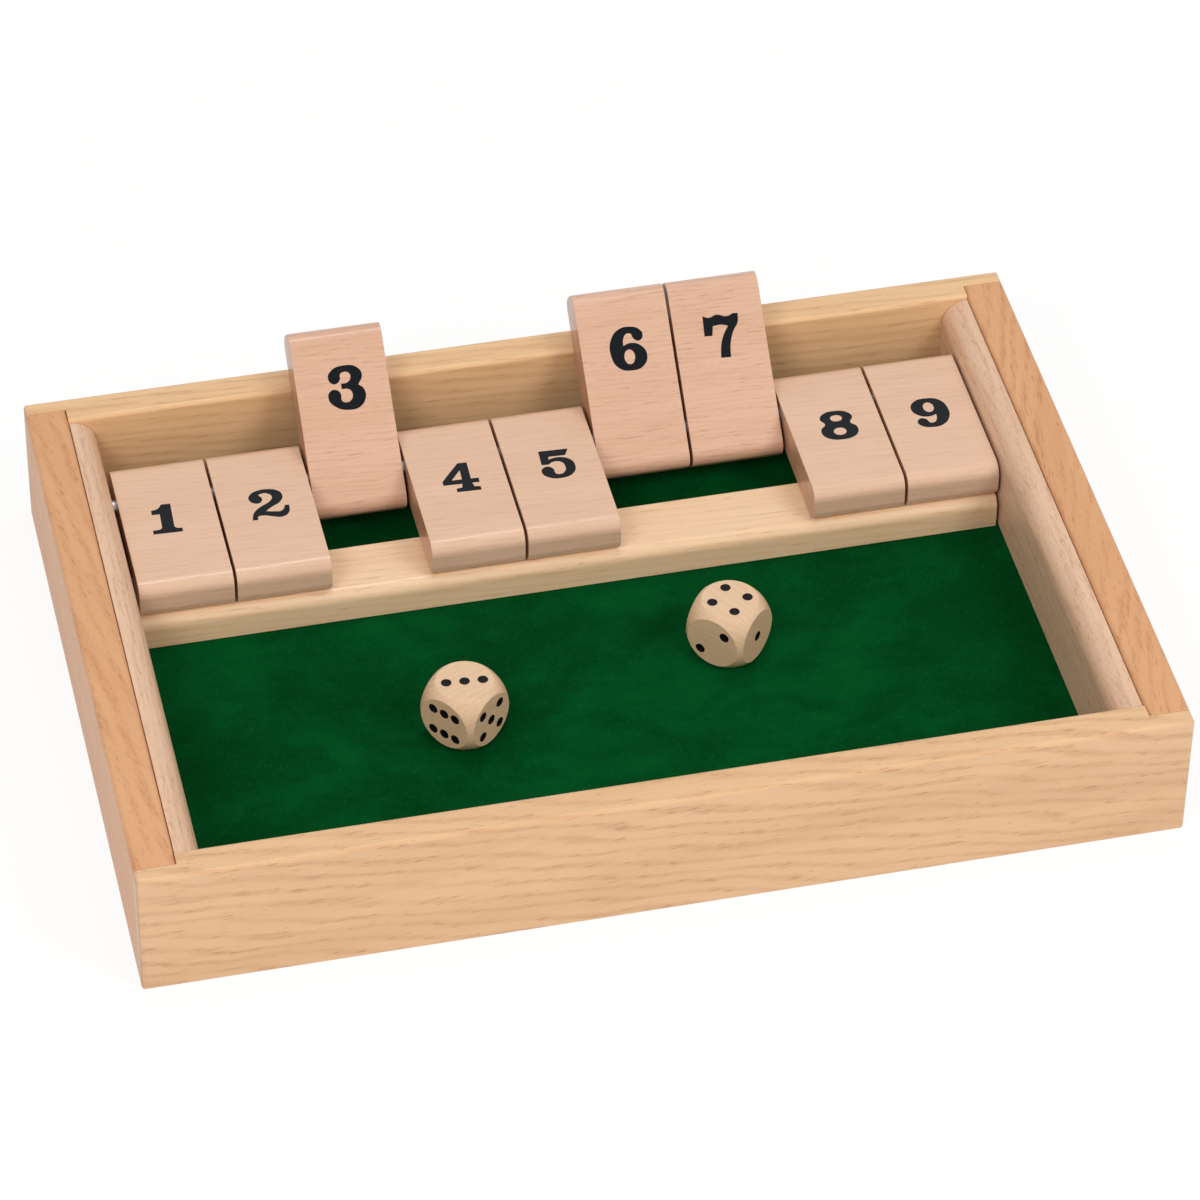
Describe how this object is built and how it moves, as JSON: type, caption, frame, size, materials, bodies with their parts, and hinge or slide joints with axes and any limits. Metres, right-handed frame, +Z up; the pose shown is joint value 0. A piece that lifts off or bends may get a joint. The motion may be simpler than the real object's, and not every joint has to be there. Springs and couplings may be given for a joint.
{
  "type": "shut the box game",
  "caption": "Open wooden tray with a felt floor, a row of tiles that flip up on a steel rod to lean on the back wall, and dice.",
  "frame": {"origin": "middle of the tray's footprint, on the surface it stands on", "axes": "+X to the right along the tile row, +Y from the player to the back wall, +Z up"},
  "size_m": [0.25, 0.17, 0.0496],
  "materials": {
    "front_wall": "lacquered light beech, grain along X",
    "back_wall": "lacquered beech, grain along X",
    "side_walls": "lacquered warm beech, grain along Y",
    "plywood": "bare plywood",
    "felt": "dark green felt",
    "strips": "lacquered beech, grain along Y",
    "tile_rail": "lacquered pale beech, grain along X",
    "rod": "bare steel rod",
    "tiles": "lacquered beech with printed plain numbers",
    "dice": "smooth beech with black pips"
  },
  "bodies": {
    "tray": {"front_wall": "front_wall", "back_wall": "back_wall", "left_wall": "side_walls", "right_wall": "side_walls", "base_panel": "plywood", "felt": "felt", "left_strip": "strips", "right_strip": "strips", "tile_rail": "tile_rail", "pivot_rod": "rod"},
    "tile_1": {"tile_1": "tiles"},
    "tile_2": {"tile_2": "tiles"},
    "tile_3": {"tile_3": "tiles"},
    "tile_4": {"tile_4": "tiles"},
    "tile_5": {"tile_5": "tiles"},
    "tile_6": {"tile_6": "tiles"},
    "tile_7": {"tile_7": "tiles"},
    "tile_8": {"tile_8": "tiles"},
    "tile_9": {"tile_9": "tiles"},
    "left_die": {"left_die": "dice"},
    "right_die": {"right_die": "dice"}
  },
  "joints": [
    {"name": "tile_1_hinge", "type": "hinge", "parent": "tray", "child": "tile_1", "pos_m": [0, 0.0562, 0.02235], "axis": [-1, 0, 0], "range_deg": [0, 136.73]},
    {"name": "tile_2_hinge", "type": "hinge", "parent": "tray", "child": "tile_2", "pos_m": [0, 0.0562, 0.02235], "axis": [-1, 0, 0], "range_deg": [0, 136.73]},
    {"name": "tile_3_hinge", "type": "hinge", "parent": "tray", "child": "tile_3", "pos_m": [0, 0.0562, 0.02235], "axis": [-1, 0, 0], "range_deg": [-136.73, 0]},
    {"name": "tile_4_hinge", "type": "hinge", "parent": "tray", "child": "tile_4", "pos_m": [0, 0.0562, 0.02235], "axis": [-1, 0, 0], "range_deg": [0, 136.73]},
    {"name": "tile_5_hinge", "type": "hinge", "parent": "tray", "child": "tile_5", "pos_m": [0, 0.0562, 0.02235], "axis": [-1, 0, 0], "range_deg": [0, 136.73]},
    {"name": "tile_6_hinge", "type": "hinge", "parent": "tray", "child": "tile_6", "pos_m": [0, 0.0562, 0.02235], "axis": [-1, 0, 0], "range_deg": [-136.73, 0]},
    {"name": "tile_7_hinge", "type": "hinge", "parent": "tray", "child": "tile_7", "pos_m": [0, 0.0562, 0.02235], "axis": [-1, 0, 0], "range_deg": [-136.73, 0]},
    {"name": "tile_8_hinge", "type": "hinge", "parent": "tray", "child": "tile_8", "pos_m": [0, 0.0562, 0.02235], "axis": [-1, 0, 0], "range_deg": [0, 136.73]},
    {"name": "tile_9_hinge", "type": "hinge", "parent": "tray", "child": "tile_9", "pos_m": [0, 0.0562, 0.02235], "axis": [-1, 0, 0], "range_deg": [0, 136.73]},
    {"name": "left_die_lift", "type": "slide", "parent": "tray", "child": "left_die", "axis": [0, 0, 1], "range_m": [0, 0.08]},
    {"name": "right_die_lift", "type": "slide", "parent": "tray", "child": "right_die", "axis": [0, 0, 1], "range_m": [0, 0.08]}
  ]
}
